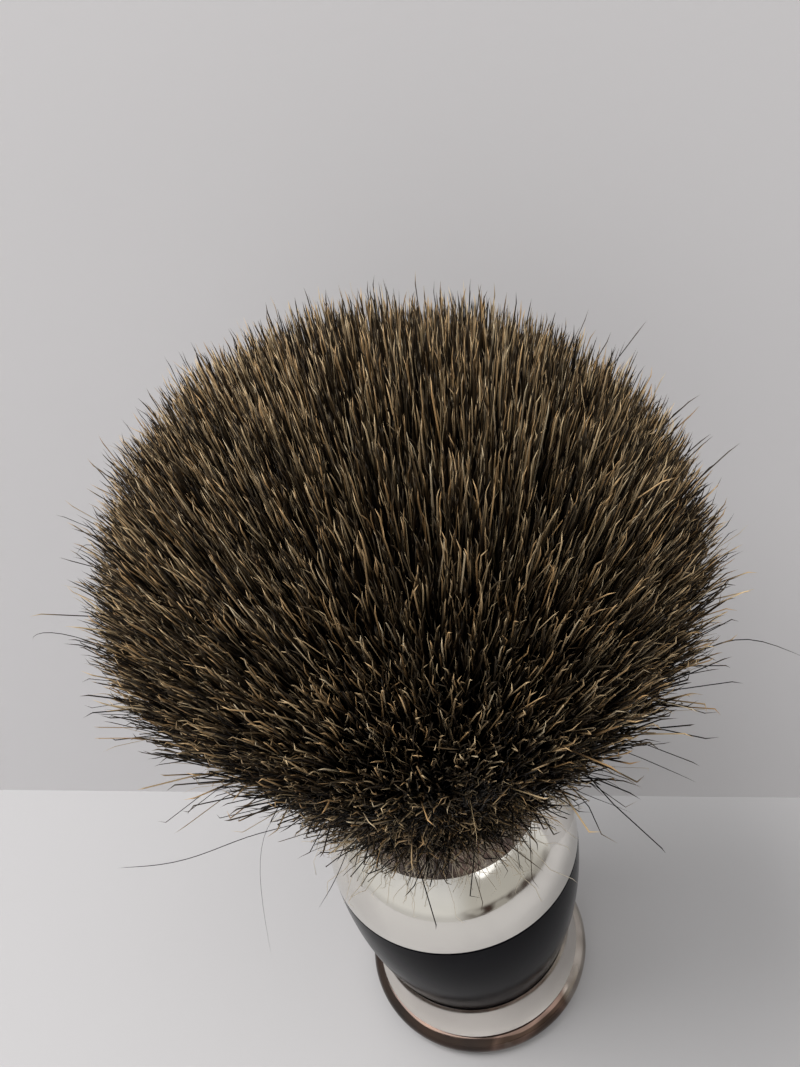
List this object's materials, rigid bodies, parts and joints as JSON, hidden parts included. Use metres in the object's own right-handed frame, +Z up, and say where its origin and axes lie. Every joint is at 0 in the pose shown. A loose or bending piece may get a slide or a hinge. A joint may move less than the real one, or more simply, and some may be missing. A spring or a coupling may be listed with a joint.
{
  "type": "shaving brush",
  "caption": "Shaving brush: splayed badger knot in a metal collar on a turned handle with bright metal cap and foot, resin grip and a knot that bends and springs back.",
  "frame": {"origin": "on the axis of the brush, at the level of the surface it stands on", "axes": "+Z up along the axis, from the foot to the tips of the hair; the brush is round, and +X is the way the hair bends for a positive joint value"},
  "size_m": [0.067, 0.067, 0.1045],
  "materials": {
    "pad_foam": "matt closed-cell pad",
    "chrome_foot": "polished plate",
    "chrome_flare": "polished plate",
    "chrome_cap": "polished plate",
    "chrome_collar": "polished plate",
    "zinc_steel": "bright zinc",
    "raw_steel": "turned, oiled",
    "gasket_rubber": "matt",
    "black_resin": "buffed to a gloss",
    "turned_brass": "turned",
    "moulded_core": "moulded",
    "epoxy_glue": "cured",
    "waxed_thread": "waxed",
    "badger_roots": "dark hair",
    "badger_hair": "dry coarse hair with tan tips"
  },
  "bodies": {
    "handle": {"foot_pad": "pad_foam", "foot_ring": "chrome_foot", "base_plate": "zinc_steel", "lower_shell": "chrome_flare", "base_weight": "raw_steel", "lower_gasket": "gasket_rubber", "grip_body": "black_resin", "spacer_tube": "turned_brass", "tie_screw": "zinc_steel", "lock_washer": "zinc_steel", "threaded_insert": "turned_brass", "upper_gasket": "gasket_rubber", "upper_shell": "chrome_cap", "cap_core": "moulded_core", "collar_gasket": "gasket_rubber", "ferrule_collar": "chrome_collar", "knot_cup": "moulded_core", "glue_plug": "epoxy_glue", "binding_thread": "waxed_thread", "hair_roots": "badger_roots"},
    "hair": {"hair_tuft": "badger_hair"}
  },
  "joints": [
    {"name": "hair_bend", "type": "hinge", "parent": "handle", "child": "hair", "pos_m": [0, 0, 0.0443], "axis": [0, 1, 0], "range_deg": [-20, 20], "stiffness_Nm_per_rad": 0.15}
  ]
}
